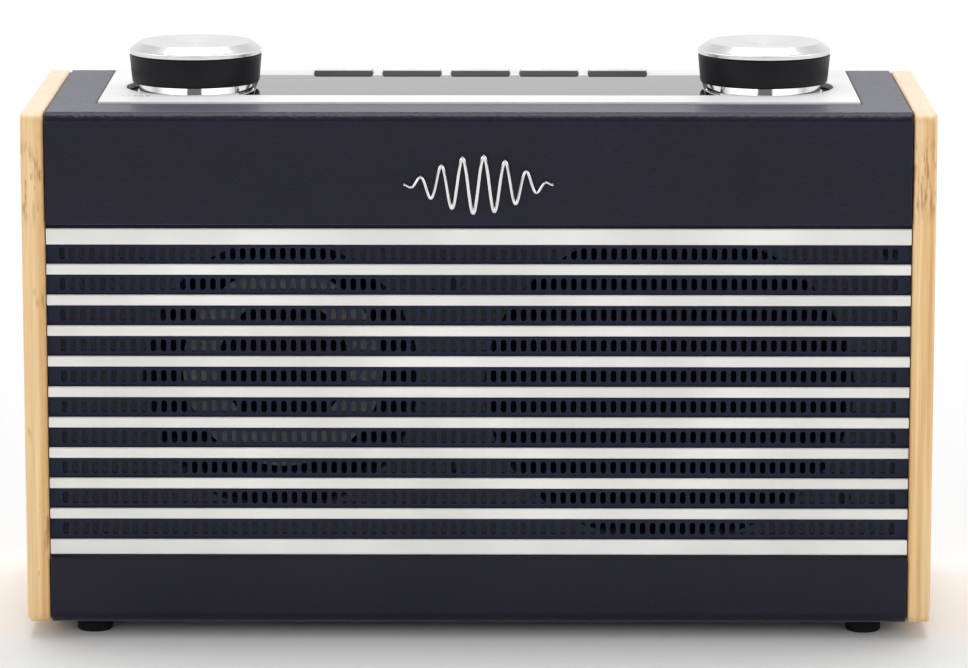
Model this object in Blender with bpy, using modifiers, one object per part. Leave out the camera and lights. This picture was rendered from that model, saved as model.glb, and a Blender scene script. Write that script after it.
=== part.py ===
"""Retro portable table radio: leathercloth sleeve on a wooden core between bamboo end panels,
a striped front grille, and a control plate on top with two knobs, a display window and five keys.

Lengths below are millimetres; the helpers turn them into metres.
+X is the radio's right as its user faces it, the front faces -Y, and the feet stand on Z = 0.
"""
import math

import bmesh
import bpy
from mathutils import Matrix

MM = 0.001

# Cabinet
WIDTH = 255.0
DEPTH = 96.0
HEIGHT = 145.5
CORNER_RADIUS = 3.5
END_PANEL_THICKNESS = 6.45
END_PANEL_EDGE = 1.1
LEATHER_THICKNESS = 1.2
BOARD_THICKNESS = 8.0
GAP = 0.3

# What stands out of the cabinet
FOOT_HEIGHT = 4.0
FOOT_RADIUS = 5.0
FOOT_X = 109.3
FOOT_INSET = 11.0
EMBLEM_PROUD = 1.4
AERIAL_PROUD = 7.2

FRONT = -(DEPTH + AERIAL_PROUD - EMBLEM_PROUD) / 2
BACK = FRONT + DEPTH
BOTTOM = FOOT_HEIGHT
TOP = BOTTOM + HEIGHT
END_PANEL_INNER = WIDTH / 2 - END_PANEL_THICKNESS
HALF_INNER = END_PANEL_INNER - GAP
CORE_INSET = LEATHER_THICKNESS + GAP

# Grille
GRILLE_BOTTOM = BOTTOM + 19.0
GRILLE_TOP = BOTTOM + 114.1
GRILLE_FACE_DEPTH = 2.6
GRILLE_THICKNESS = 1.5
STRIP_FRONT_DEPTH = 1.1
STRIP_HEIGHT = 3.05
TOP_STRIP_HEIGHT = 4.6
TOP_STRIP_Z = BOTTOM + 110.6
BOTTOM_STRIP_HEIGHT = 4.4
BOTTOM_STRIP_Z = BOTTOM + 21.95
STRIP_PITCH = 8.719
SECOND_STRIP_Z = BOTTOM + 101.3
INNER_STRIPS = 9

# Baffle and drivers
BAFFLE_FACE_DEPTH = 8.0
BAFFLE_BACK_DEPTH = 16.0
SPEAKER_X = -55.7
SPEAKER_Z = BOTTOM + 69.8
SPEAKER_OPENING_RADIUS = 39.0
CONE_SET_BACK = 3.6
PASSIVE_X = 53.6
PASSIVE_Z = BOTTOM + 66.9
PASSIVE_HALF_WIDTH = 52.2
PASSIVE_HALF_HEIGHT = 45.0

# Control plate on top
PLATE_HALF_WIDTH = 107.4
PLATE_FRONT = FRONT + 20.4
PLATE_BACK = FRONT + 88.9
PLATE_TOP = TOP + 0.5
PLATE_THICKNESS = 1.6
PLATE_MARGIN = 0.4
WINDOW_HALF_WIDTH = 64.4
WINDOW_CUT_HALF_WIDTH = 68.5
WINDOW_FRONT = FRONT + 34.7
WINDOW_BACK = FRONT + 78.2
KEY_WIDTH = 16.9
KEY_PITCH = 20.07
KEY_FRONT = FRONT + 81.2
KEY_BACK = FRONT + 87.2
KEY_PROUD = 1.0
KEY_TRAVEL_ROOM = 1.0
KEY_COUNT = 5

# Knobs
KNOB_X = 81.7
KNOB_Y = FRONT + 54.0
KNOB_RECESS_RADIUS = 19.9
KNOB_RADIUS = 18.96
KNOB_FOOT_RADIUS = 18.2
KNOB_BASE = PLATE_TOP + 1.6
KNOB_SEAM = PLATE_TOP + 9.5
KNOB_TOP = PLATE_TOP + 13.0
SHAFT_RADIUS = 3.0

# Control chassis and its board
CHASSIS_TOP = PLATE_TOP - PLATE_THICKNESS - GAP
CHASSIS_DEPTH = 16.0
CHASSIS_WALL = 2.4
CHASSIS_SKIN = 3.0
CHASSIS_HALF_WIDTH = 105.9
CHASSIS_FRONT = FRONT + 21.7
CHASSIS_BACK = FRONT + 88.6
CONTROL_BOARD_TOP = CHASSIS_TOP - 11.0

# Rear
REAR_PANEL_BACK = BACK - LEATHER_THICKNESS - GAP
REAR_PANEL_THICKNESS = 2.5
REAR_OPENING_HALF_WIDTH = 112.0
REAR_OPENING_BOTTOM = BOTTOM + 11.5
REAR_OPENING_TOP = BOTTOM + 137.0
BAY_HALF_WIDTH = 52.0
BAY_BOTTOM = BOTTOM + 13.4
BAY_TOP = BOTTOM + 66.0
BAY_DEPTH = 33.0
BAY_WALL = 2.0
DOOR_HINGE_RADIUS = 1.3
DOOR_HINGE_Z = BAY_BOTTOM + 1.8
DOOR_THICKNESS = 2.2
SOCKET_Z = BOTTOM + 26.0
DC_SOCKET_X = 92.0
HEADPHONE_SOCKET_X = 74.0

# Aerial
AERIAL_X = 104.0
AERIAL_Y = BACK + 4.0
AERIAL_Z = BOTTOM + 127.0
AERIAL_TUBE_RADIUS = 3.0
AERIAL_MIDDLE_RADIUS = 2.2
AERIAL_TIP_RADIUS = 1.4
AERIAL_TUBE_START = AERIAL_X - 7.0
AERIAL_TUBE_END = -62.0

# Badge: an even radio-wave ornament bent from round wire
EMBLEM_Z = BOTTOM + 125.6
EMBLEM_HALF_WIDTH = 21.8
EMBLEM_HALF_HEIGHT = 9.2
EMBLEM_WIRE_RADIUS = 0.55
EMBLEM_WAVES = 7

ROUND_STEPS = 36
SMALL_ROUND_STEPS = 20

COLOURS = {
    "leather": ((0.022, 0.023, 0.037), 0.55, 0.0),
    "bamboo": ((0.73, 0.47, 0.22), 0.45, 0.0),
    "board": ((0.22, 0.15, 0.09), 0.8, 0.0),
    "baffle": ((0.02, 0.021, 0.023), 0.7, 0.0),
    "grille": ((0.014, 0.02, 0.045), 0.45, 0.0),
    "strip": ((0.76, 0.74, 0.70), 0.35, 0.0),
    "plate": ((0.86, 0.86, 0.87), 0.35, 0.6),
    "chrome": ((0.8, 0.8, 0.82), 0.08, 1.0),
    "aluminium": ((0.82, 0.82, 0.83), 0.25, 1.0),
    "knob": ((0.018, 0.017, 0.021), 0.5, 0.0),
    "lens": ((0.02, 0.02, 0.024), 0.05, 0.0),
    "key": ((0.8, 0.8, 0.81), 0.35, 0.3),
    "black_plastic": ((0.015, 0.015, 0.017), 0.5, 0.0),
    "rubber": ((0.012, 0.012, 0.012), 0.85, 0.0),
    "steel": ((0.55, 0.56, 0.58), 0.35, 1.0),
    "paper_cone": ((0.08, 0.085, 0.08), 0.7, 0.0),
    "circuit_board": ((0.02, 0.12, 0.05), 0.5, 0.0),
    "magnet": ((0.05, 0.05, 0.055), 0.6, 0.3),
}


def clear_scene():
    for scene_object in list(bpy.data.objects):
        bpy.data.objects.remove(scene_object, do_unlink=True)


def make_collection(name):
    collection = bpy.data.collections.new(name)
    bpy.context.scene.collection.children.link(collection)
    return collection


def make_material(name, colour, roughness, metallic):
    material = bpy.data.materials.new(name)
    material.use_nodes = True
    shader = material.node_tree.nodes["Principled BSDF"]
    shader.inputs["Base Color"].default_value = (*colour, 1.0)
    shader.inputs["Roughness"].default_value = roughness
    shader.inputs["Metallic"].default_value = metallic
    material.diffuse_color = (*colour, 1.0)
    return material


clear_scene()
RADIO = make_collection("portable_radio")
CUTTERS = make_collection("cutters")
MATERIALS = {name: make_material(name, *look) for name, look in COLOURS.items()}


def finish_object(scene_object, material_name, smooth=False):
    """Put an object in the radio's collection, or among the cutters when it has no material."""
    if material_name is None:
        scene_object.hide_render = True
        scene_object.display_type = "WIRE"
        CUTTERS.objects.link(scene_object)
        return scene_object
    RADIO.objects.link(scene_object)
    scene_object.data.materials.append(MATERIALS[material_name])
    if smooth:
        scene_object.data.shade_smooth()
        scene_object.data.set_sharp_from_angle(angle=math.radians(35))
    return scene_object


def object_from_bmesh(name, shape, location, material_name, smooth=False):
    mesh = bpy.data.meshes.new(name)
    shape.to_mesh(mesh)
    shape.free()
    scene_object = bpy.data.objects.new(name, mesh)
    scene_object.location = [value * MM for value in location]
    return finish_object(scene_object, material_name, smooth)


def soften(scene_object, width, segments=2):
    bevel = scene_object.modifiers.new("soft_edges", "BEVEL")
    bevel.width = width * MM
    bevel.segments = segments
    bevel.limit_method = "ANGLE"
    bevel.angle_limit = math.radians(40)
    return scene_object


def combine(target, other, operation="DIFFERENCE"):
    """Cut another object out of the target, or join it on, with a Boolean modifier."""
    boolean = target.modifiers.new(other.name, "BOOLEAN")
    boolean.operation = operation
    boolean.solver = "EXACT"
    boolean.object = other
    return target


def block(name, x, y, z, material_name=None, origin=None, round_radius=0.0, round_edge=None):
    """A box between the low and high values of x, y and z.

    Edges along X whose (y side, z side) signs pass round_edge are rounded to round_radius.
    """
    centre = [(low + high) / 2 for low, high in (x, y, z)]
    size = [high - low for low, high in (x, y, z)]
    origin = origin or centre
    shape = bmesh.new()
    bmesh.ops.create_cube(shape, size=1.0)
    bmesh.ops.scale(shape, vec=[value * MM for value in size], verts=shape.verts)
    if round_radius:
        long_edges = [edge for edge in shape.edges
                      if abs(edge.verts[0].co.x - edge.verts[1].co.x) > MM
                      and round_edge(edge.verts[0].co.y, edge.verts[0].co.z)]
        bmesh.ops.bevel(shape, geom=long_edges, offset=round_radius * MM, offset_type="OFFSET",
                        segments=5, profile=0.5, affect="EDGES")
    shift = [(c - o) * MM for c, o in zip(centre, origin)]
    bmesh.ops.translate(shape, vec=shift, verts=shape.verts)
    return object_from_bmesh(name, shape, origin, material_name)


def drum(name, centre, radius, length, axis, material_name=None, steps=SMALL_ROUND_STEPS,
         origin=None, stretch=1.0):
    """A cylinder about the named axis; stretch widens it along X into an oval."""
    shape = bmesh.new()
    bmesh.ops.create_cone(shape, cap_ends=True, segments=steps, radius1=radius * MM,
                          radius2=radius * MM, depth=length * MM)
    turn = {"X": Matrix.Rotation(math.pi / 2, 3, "Y"),
            "Y": Matrix.Rotation(math.pi / 2, 3, "X"),
            "Z": Matrix.Identity(3)}[axis]
    bmesh.ops.rotate(shape, cent=(0, 0, 0), matrix=turn, verts=shape.verts)
    bmesh.ops.scale(shape, vec=(stretch, 1, 1), verts=shape.verts)
    origin = origin or centre
    shift = [(c - o) * MM for c, o in zip(centre, origin)]
    bmesh.ops.translate(shape, vec=shift, verts=shape.verts)
    return object_from_bmesh(name, shape, origin, material_name, smooth=True)


def turned(name, profile, location, material_name=None, closed=False, steps=ROUND_STEPS,
           facing_front=False):
    """Spin a profile of (radius, height) points about Z, outer side running downwards.

    A closed profile makes a ring; an open one starts and ends on the axis. facing_front tips the
    axis so that height points out of the front of the radio.
    """
    mesh = bpy.data.meshes.new(name)
    points = [(radius * MM, 0.0, height * MM) for radius, height in profile]
    edges = [(index, index + 1) for index in range(len(points) - 1)]
    if closed:
        edges.append((len(points) - 1, 0))
    mesh.from_pydata(points, edges, [])
    scene_object = bpy.data.objects.new(name, mesh)
    scene_object.location = [value * MM for value in location]
    if facing_front:
        scene_object.rotation_euler = (math.pi / 2, 0.0, 0.0)
    screw = scene_object.modifiers.new("spin", "SCREW")
    screw.axis = "Z"
    screw.angle = math.tau
    screw.steps = steps
    screw.render_steps = steps
    screw.use_merge_vertices = True
    screw.merge_threshold = 0.00001
    screw.use_smooth_shade = True
    return finish_object(scene_object, material_name)


def arc(centre, radius, start_degrees, end_degrees, count):
    """Points along an arc of a profile, as (radius, height)."""
    angles = [math.radians(start_degrees + (end_degrees - start_degrees) * index / count)
              for index in range(count + 1)]
    return [(centre[0] + radius * math.cos(a), centre[1] + radius * math.sin(a)) for a in angles]


def make_end_panels():
    for side, name in ((-1, "end_panel_left"), (1, "end_panel_right")):
        x = sorted((side * END_PANEL_INNER, side * WIDTH / 2))
        panel = block(name, x, (FRONT, BACK), (BOTTOM, TOP), "bamboo",
                      round_radius=CORNER_RADIUS, round_edge=lambda y, z: True)
        soften(panel, END_PANEL_EDGE, segments=2)


def make_leather_cover():
    cover = block("leather_cover", (-HALF_INNER, HALF_INNER), (FRONT, BACK), (BOTTOM, TOP),
                  "leather", round_radius=CORNER_RADIUS, round_edge=lambda y, z: True)
    wall = LEATHER_THICKNESS
    inside = block("leather_inside", (-WIDTH, WIDTH), (FRONT + wall, BACK - wall),
                   (BOTTOM + wall, TOP - wall), round_radius=CORNER_RADIUS - wall,
                   round_edge=lambda y, z: True)
    grille_cut = block("leather_grille_cut", (-WIDTH, WIDTH), (FRONT - 5, FRONT + 10),
                       (GRILLE_BOTTOM, GRILLE_TOP))
    half = PLATE_HALF_WIDTH + PLATE_MARGIN
    control_cut = block("leather_control_cut", (-half, half),
                        (PLATE_FRONT - PLATE_MARGIN, PLATE_BACK + PLATE_MARGIN),
                        (TOP - 10, TOP + 10))
    rear_cut = block("leather_rear_cut", (-REAR_OPENING_HALF_WIDTH, REAR_OPENING_HALF_WIDTH),
                     (BACK - 10, BACK + 10), (REAR_OPENING_BOTTOM, REAR_OPENING_TOP))
    for cutter in (inside, grille_cut, control_cut, rear_cut):
        combine(cover, cutter)


def make_core_boards():
    inset = CORE_INSET
    y = (FRONT + inset, BACK - inset)
    radius = CORNER_RADIUS - inset
    top_board = block("top_board", (-HALF_INNER, HALF_INNER), y,
                      (TOP - inset - BOARD_THICKNESS, TOP - inset), "board",
                      round_radius=radius, round_edge=lambda y_side, z_side: z_side > 0)
    half = CHASSIS_HALF_WIDTH + GAP
    combine(top_board, block("top_board_cut", (-half, half),
                             (CHASSIS_FRONT - GAP, CHASSIS_BACK + GAP), (TOP - 30, TOP + 10)))
    block("bottom_board", (-HALF_INNER, HALF_INNER), y,
          (BOTTOM + inset, BOTTOM + inset + BOARD_THICKNESS), "board",
          round_radius=radius, round_edge=lambda y_side, z_side: z_side < 0)


def make_front_baffle():
    inset = CORE_INSET + BOARD_THICKNESS + GAP
    baffle = block("front_baffle", (-HALF_INNER, HALF_INNER),
                   (FRONT + CORE_INSET, FRONT + BAFFLE_BACK_DEPTH),
                   (BOTTOM + inset, TOP - inset), "baffle")
    fold = LEATHER_THICKNESS + GAP
    pocket = block("baffle_pocket", (-WIDTH, WIDTH), (FRONT - 5, FRONT + BAFFLE_FACE_DEPTH),
                   (GRILLE_BOTTOM - fold, GRILLE_TOP + fold))
    middle = FRONT + (BAFFLE_FACE_DEPTH + BAFFLE_BACK_DEPTH) / 2
    speaker_hole = drum("speaker_hole", (SPEAKER_X, middle, SPEAKER_Z), SPEAKER_OPENING_RADIUS,
                        30, "Y", steps=ROUND_STEPS)
    passive_hole = drum("passive_hole", (PASSIVE_X, middle, PASSIVE_Z), PASSIVE_HALF_HEIGHT,
                        30, "Y", steps=ROUND_STEPS,
                        stretch=PASSIVE_HALF_WIDTH / PASSIVE_HALF_HEIGHT)
    for cutter in (pocket, speaker_hole, passive_hole):
        combine(baffle, cutter)
    fixing_points = ((-6.6, 96.0), (-6.6, 44.0), (103.4, 35.0), (115.0, 105.0))
    for index, (x, height) in enumerate(fixing_points):
        combine(baffle, drum(f"fixing_hole_{index}", (x, FRONT + BAFFLE_FACE_DEPTH, BOTTOM + height),
                             1.9, 8, "Y", steps=12))


def make_grille():
    block("grille_panel", (-HALF_INNER, HALF_INNER),
          (FRONT + GRILLE_FACE_DEPTH, FRONT + GRILLE_FACE_DEPTH + GRILLE_THICKNESS),
          (GRILLE_BOTTOM + GAP, GRILLE_TOP - GAP), "grille")
    inner_strips = [(SECOND_STRIP_Z - STRIP_PITCH * index, STRIP_HEIGHT)
                    for index in range(INNER_STRIPS)]
    strips = [(TOP_STRIP_Z, TOP_STRIP_HEIGHT), *inner_strips, (BOTTOM_STRIP_Z, BOTTOM_STRIP_HEIGHT)]
    for index, (centre, height) in enumerate(strips):
        strip = block(f"grille_strip_{index + 1:02d}", (-HALF_INNER, HALF_INNER),
                      (FRONT + STRIP_FRONT_DEPTH, FRONT + GRILLE_FACE_DEPTH - GAP),
                      (centre - height / 2, centre + height / 2), "strip")
        soften(strip, 0.35, segments=1)


def make_speaker():
    seat = FRONT + BAFFLE_BACK_DEPTH + GAP
    basket = [(44.0, 0.0), (44.0, -2.2), (38.2, -2.2), (38.2, -6.5), (27.0, -21.5), (9.6, -22.5),
              (9.6, -21.0), (26.0, -20.0), (36.5, -5.8), (36.5, 0.0)]
    frame = turned("speaker_frame", basket, (SPEAKER_X, seat, SPEAKER_Z), "black_plastic",
                   closed=True, facing_front=True)
    for index in range(3):
        slot = block(f"basket_window_{index}", (-60, 60), (-4, 4), (-7.5, 7.5))
        slot.location = (SPEAKER_X * MM, (seat + 14.5) * MM, SPEAKER_Z * MM)
        slot.rotation_euler = (0, math.radians(30 + 60 * index), 0)
        combine(frame, slot)
    cone = [(36.0, -0.2), (36.0, -1.0), (28.2, -2.0), (18.2, -8.2), (10.0, -14.4), (10.0, -13.4),
            (18.0, -7.2), (28.0, -1.0), *arc((32.2, -0.4), 3.4, 175, 5, 6)]
    cone_seat = seat + CONE_SET_BACK
    turned("speaker_cone", cone, (SPEAKER_X, cone_seat, SPEAKER_Z), "paper_cone", closed=True,
           facing_front=True)
    dome = [(0.0, -2.6), (9.0, -3.6), (14.0, -4.8), (17.0, -6.0), (17.0, -6.5), (9.0, -4.8),
            (0.0, -3.6)]
    turned("speaker_dust_cap", dome, (SPEAKER_X, cone_seat, SPEAKER_Z), "black_plastic",
           facing_front=True)
    magnet = [(0.0, -22.8), (31.5, -22.8), (31.5, -33.0), (28.0, -33.0), (28.0, -36.5),
              (0.0, -36.5)]
    turned("speaker_magnet", magnet, (SPEAKER_X, seat, SPEAKER_Z), "magnet", facing_front=True)


def make_passive_radiator():
    seat = FRONT + BAFFLE_BACK_DEPTH + GAP
    stretch = PASSIVE_HALF_WIDTH / PASSIVE_HALF_HEIGHT
    frame = drum("passive_frame", (PASSIVE_X, seat + 1.5, PASSIVE_Z), PASSIVE_HALF_HEIGHT + 4.2,
                 3.0, "Y", "black_plastic", steps=ROUND_STEPS, stretch=stretch)
    combine(frame, drum("passive_frame_hole", (PASSIVE_X, seat + 1.5, PASSIVE_Z),
                        PASSIVE_HALF_HEIGHT - 1.2, 10, "Y", steps=ROUND_STEPS, stretch=stretch))
    radiator = drum("passive_radiator", (PASSIVE_X, seat + 2.2, PASSIVE_Z),
                    PASSIVE_HALF_HEIGHT - 1.7, 1.6, "Y", "black_plastic", steps=ROUND_STEPS,
                    stretch=stretch)
    soften(radiator, 0.5, segments=1)


def make_control_plate():
    z = (PLATE_TOP - PLATE_THICKNESS, PLATE_TOP)
    plate = block("control_plate", (-PLATE_HALF_WIDTH, PLATE_HALF_WIDTH),
                  (PLATE_FRONT, PLATE_BACK), z, "plate")
    soften(plate, 0.3, segments=2)
    through = (z[0] - 5, z[1] + 5)
    window = block("window_cut", (-WINDOW_CUT_HALF_WIDTH, WINDOW_CUT_HALF_WIDTH),
                   (WINDOW_FRONT - 0.15, WINDOW_BACK + 0.15), through)
    combine(plate, window)
    for index in range(KEY_COUNT):
        x = key_x(index)
        key_cut = block(f"key_cut_{index}", (x - KEY_WIDTH / 2 - 0.2, x + KEY_WIDTH / 2 + 0.2),
                        (KEY_FRONT - 0.1, KEY_BACK + 0.2), through)
        combine(plate, key_cut)
    for side in (-1, 1):
        recess = drum(f"knob_recess_{side}", (side * KNOB_X, KNOB_Y, PLATE_TOP),
                      KNOB_RECESS_RADIUS, 20, "Z", steps=ROUND_STEPS)
        combine(plate, recess)


def make_control_chassis():
    x = (-CHASSIS_HALF_WIDTH, CHASSIS_HALF_WIDTH)
    y = (CHASSIS_FRONT, CHASSIS_BACK)
    chassis = block("control_chassis", x, y, (CHASSIS_TOP - CHASSIS_DEPTH, CHASSIS_TOP),
                    "black_plastic")
    wall = CHASSIS_WALL
    hollow = block("chassis_hollow", (x[0] + wall, x[1] - wall), (y[0] + wall, y[1] - wall),
                   (CHASSIS_TOP - 40, CHASSIS_TOP - CHASSIS_SKIN))
    combine(chassis, hollow)
    combine(chassis, block("display_opening", (-56, 56), (FRONT + 41, FRONT + 69),
                           (CHASSIS_TOP - 6, CHASSIS_TOP + 6)))
    for index in range(KEY_COUNT):
        stem_y = key_stem_y()
        combine(chassis, block(f"stem_hole_{index}", (key_x(index) - 3.4, key_x(index) + 3.4),
                               (stem_y - 2.1, stem_y + 2.1), (CHASSIS_TOP - 6, CHASSIS_TOP + 6)))
    for side in (-1, 1):
        combine(chassis, drum(f"shaft_hole_{side}", (side * KNOB_X, KNOB_Y, CHASSIS_TOP), 5.5,
                              12, "Z"))


def make_display():
    lens = block("display_lens", (-WINDOW_HALF_WIDTH, WINDOW_HALF_WIDTH),
                 (WINDOW_FRONT, WINDOW_BACK), (PLATE_TOP - PLATE_THICKNESS, PLATE_TOP), "lens")
    soften(lens, 0.25, segments=2)
    block("display_module", (-58, 58), (FRONT + 38, FRONT + 72),
          (CONTROL_BOARD_TOP + GAP, CHASSIS_TOP - CHASSIS_SKIN - GAP), "black_plastic")
    block("control_board", (-103.5, 103.5), (FRONT + 25, FRONT + 85.5),
          (CONTROL_BOARD_TOP - 1.6, CONTROL_BOARD_TOP), "circuit_board")


def key_x(index):
    return (index - (KEY_COUNT - 1) / 2) * KEY_PITCH


def key_stem_y():
    return (KEY_FRONT + KEY_BACK) / 2 - 1.0


def make_keys():
    cap_bottom = CHASSIS_TOP + KEY_TRAVEL_ROOM
    stem_bottom = CONTROL_BOARD_TOP + 7.4
    for index in range(KEY_COUNT):
        x = key_x(index)
        origin = (x, (KEY_FRONT + KEY_BACK) / 2, PLATE_TOP)
        key = block(f"preset_button_{index + 1}", (x - KEY_WIDTH / 2, x + KEY_WIDTH / 2),
                    (KEY_FRONT, KEY_BACK), (cap_bottom, PLATE_TOP + KEY_PROUD), "key",
                    origin=origin)
        soften(key, 0.3, segments=2)
        stem = block(f"key_stem_{index}", (x - 3, x + 3), (key_stem_y() - 1.7, key_stem_y() + 1.7),
                     (stem_bottom, cap_bottom + 1))
        combine(key, stem, "UNION")
    half = 2 * KEY_PITCH + KEY_WIDTH / 2
    mat = block("button_mat", (-half, half), (key_stem_y() - 2.6, key_stem_y() + 2.6),
                (CONTROL_BOARD_TOP + GAP, CONTROL_BOARD_TOP + 2.3), "rubber")
    for index in range(KEY_COUNT):
        dome = drum(f"mat_dome_{index}", (key_x(index), key_stem_y(), CONTROL_BOARD_TOP + 4.0),
                    2.4, 4.6, "Z", steps=16)
        combine(mat, dome, "UNION")


def make_knob(side, label):
    x = side * KNOB_X
    bezel = [(16.2, 5.7), (16.4, 5.5), (16.4, 0.9), (16.8, 0.8), (17.0, 0.6), (17.0, 0.3),
             (14.9, 0.3), (14.9, 5.5), (15.1, 5.7)]
    turned(f"{label}_bezel", bezel, (x, KNOB_Y, CHASSIS_TOP), "chrome", closed=True)

    height = KNOB_SEAM - KNOB_BASE
    bore = SHAFT_RADIUS + 0.2
    grip = [(KNOB_RADIUS - 0.3, height), (KNOB_RADIUS, height - 0.3), (KNOB_FOOT_RADIUS + 0.2, 0.4),
            (KNOB_FOOT_RADIUS - 0.2, 0.0), (17.0, 0.0), (17.3, 4.6), (6.2, 4.6), (6.0, 1.2),
            (bore, 1.2), (bore, height - 1.6), (0.0, height - 1.6)]
    turned(f"{label}_knob", [(0.0, height), *grip], (x, KNOB_Y, KNOB_BASE), "knob")

    rise = KNOB_TOP - KNOB_SEAM
    cap = [(0.0, rise - 0.2), (13.0, rise - 0.12), (KNOB_RADIUS - 1.7, rise),
           (KNOB_RADIUS - 0.15, 1.25), (KNOB_RADIUS, 1.1), (KNOB_RADIUS, 0.45),
           (KNOB_RADIUS - 0.15, GAP), (0.0, GAP)]
    turned(f"{label}_knob_cap", cap, (x, KNOB_Y, KNOB_SEAM), "aluminium")

    body_top = CONTROL_BOARD_TOP + 6.6
    block(f"{label}_encoder", (x - 6, x + 6), (KNOB_Y - 6, KNOB_Y + 6),
          (CONTROL_BOARD_TOP + GAP, body_top), "steel")
    shaft_top = KNOB_SEAM - 3.0 - body_top
    shaft = [(0.0, shaft_top), (SHAFT_RADIUS - 0.4, shaft_top), (SHAFT_RADIUS, shaft_top - 0.4),
             (SHAFT_RADIUS, 1.8), (4.4, 1.8), (4.4, GAP), (0.0, GAP)]
    turned(f"{label}_encoder_shaft", shaft, (x, KNOB_Y, body_top), "steel",
           steps=SMALL_ROUND_STEPS)


def make_main_board():
    floor = BOTTOM + CORE_INSET + BOARD_THICKNESS
    board = block("main_board", (-104, -58), (FRONT + 52, BACK - 8), (floor + 4, floor + 5.6),
                  "circuit_board")
    tuner_can = block("tuner_can", (-98, -70), (FRONT + 56, FRONT + 76), (floor + 5, floor + 9))
    combine(board, tuner_can, "UNION")
    for index, (x, depth) in enumerate(((-101, 55), (-61, 55), (-101, 85), (-61, 85))):
        post = drum(f"board_post_{index}", (x, FRONT + depth, floor + GAP + 2), 2.2, 4.0, "Z",
                    steps=12)
        combine(board, post, "UNION")


def make_rear_panel():
    back = REAR_PANEL_BACK
    face = back - REAR_PANEL_THICKNESS
    inset = CORE_INSET + BOARD_THICKNESS + GAP
    panel = block("rear_panel", (-HALF_INNER, HALF_INNER), (face, back),
                  (BOTTOM + inset, TOP - inset), "black_plastic")
    half = BAY_HALF_WIDTH
    wall = BAY_WALL
    bay_outside = block("bay_outside", (-half - wall, half + wall), (back - BAY_DEPTH, back - 1),
                        (BAY_BOTTOM - wall, BAY_TOP + wall))
    combine(panel, bay_outside, "UNION")
    combine(panel, block("bay_inside", (-half, half), (back - BAY_DEPTH + wall, back + 5),
                         (BAY_BOTTOM, BAY_TOP)))
    combine(panel, drum("aerial_hole", (AERIAL_X, back, AERIAL_Z), 4.9, 20, "Y"))
    for name, x, radius in (("dc_hole", DC_SOCKET_X, 5.8), ("phones_hole", HEADPHONE_SOCKET_X, 4.8)):
        combine(panel, drum(name, (x, back, SOCKET_Z), radius, 20, "Y"))
    contacts = block("battery_contacts", (-half + GAP, -half + 1.1),
                     (back - BAY_DEPTH + wall + 3, back - 8), (BAY_BOTTOM + 4, BAY_TOP - 4),
                     "steel")
    soften(contacts, 0.2, segments=1)


def make_battery_door():
    back = REAR_PANEL_BACK
    hinge_y = back - DOOR_THICKNESS / 2
    origin = (0.0, hinge_y, DOOR_HINGE_Z)
    half = BAY_HALF_WIDTH - GAP
    door = block("battery_door", (-half, half), (back - DOOR_THICKNESS, back),
                 (DOOR_HINGE_Z, BAY_TOP - GAP), "black_plastic", origin=origin)
    combine(door, drum("door_barrel", origin, DOOR_HINGE_RADIUS, 2 * half, "X", steps=16),
            "UNION")
    latch = block("latch_relief", (-9, 9), (back - 0.7, back + 2), (BAY_TOP - 9, BAY_TOP - 4))
    combine(door, latch)


def make_socket(name, x, radius, bore):
    back = REAR_PANEL_BACK
    socket = drum(name, (x, back - 5.5, SOCKET_Z), radius, 12.0, "Y", "black_plastic")
    combine(socket, drum(f"{name}_bore", (x, back + 0.5, SOCKET_Z), bore, 19.0, "Y", steps=16))


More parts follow.
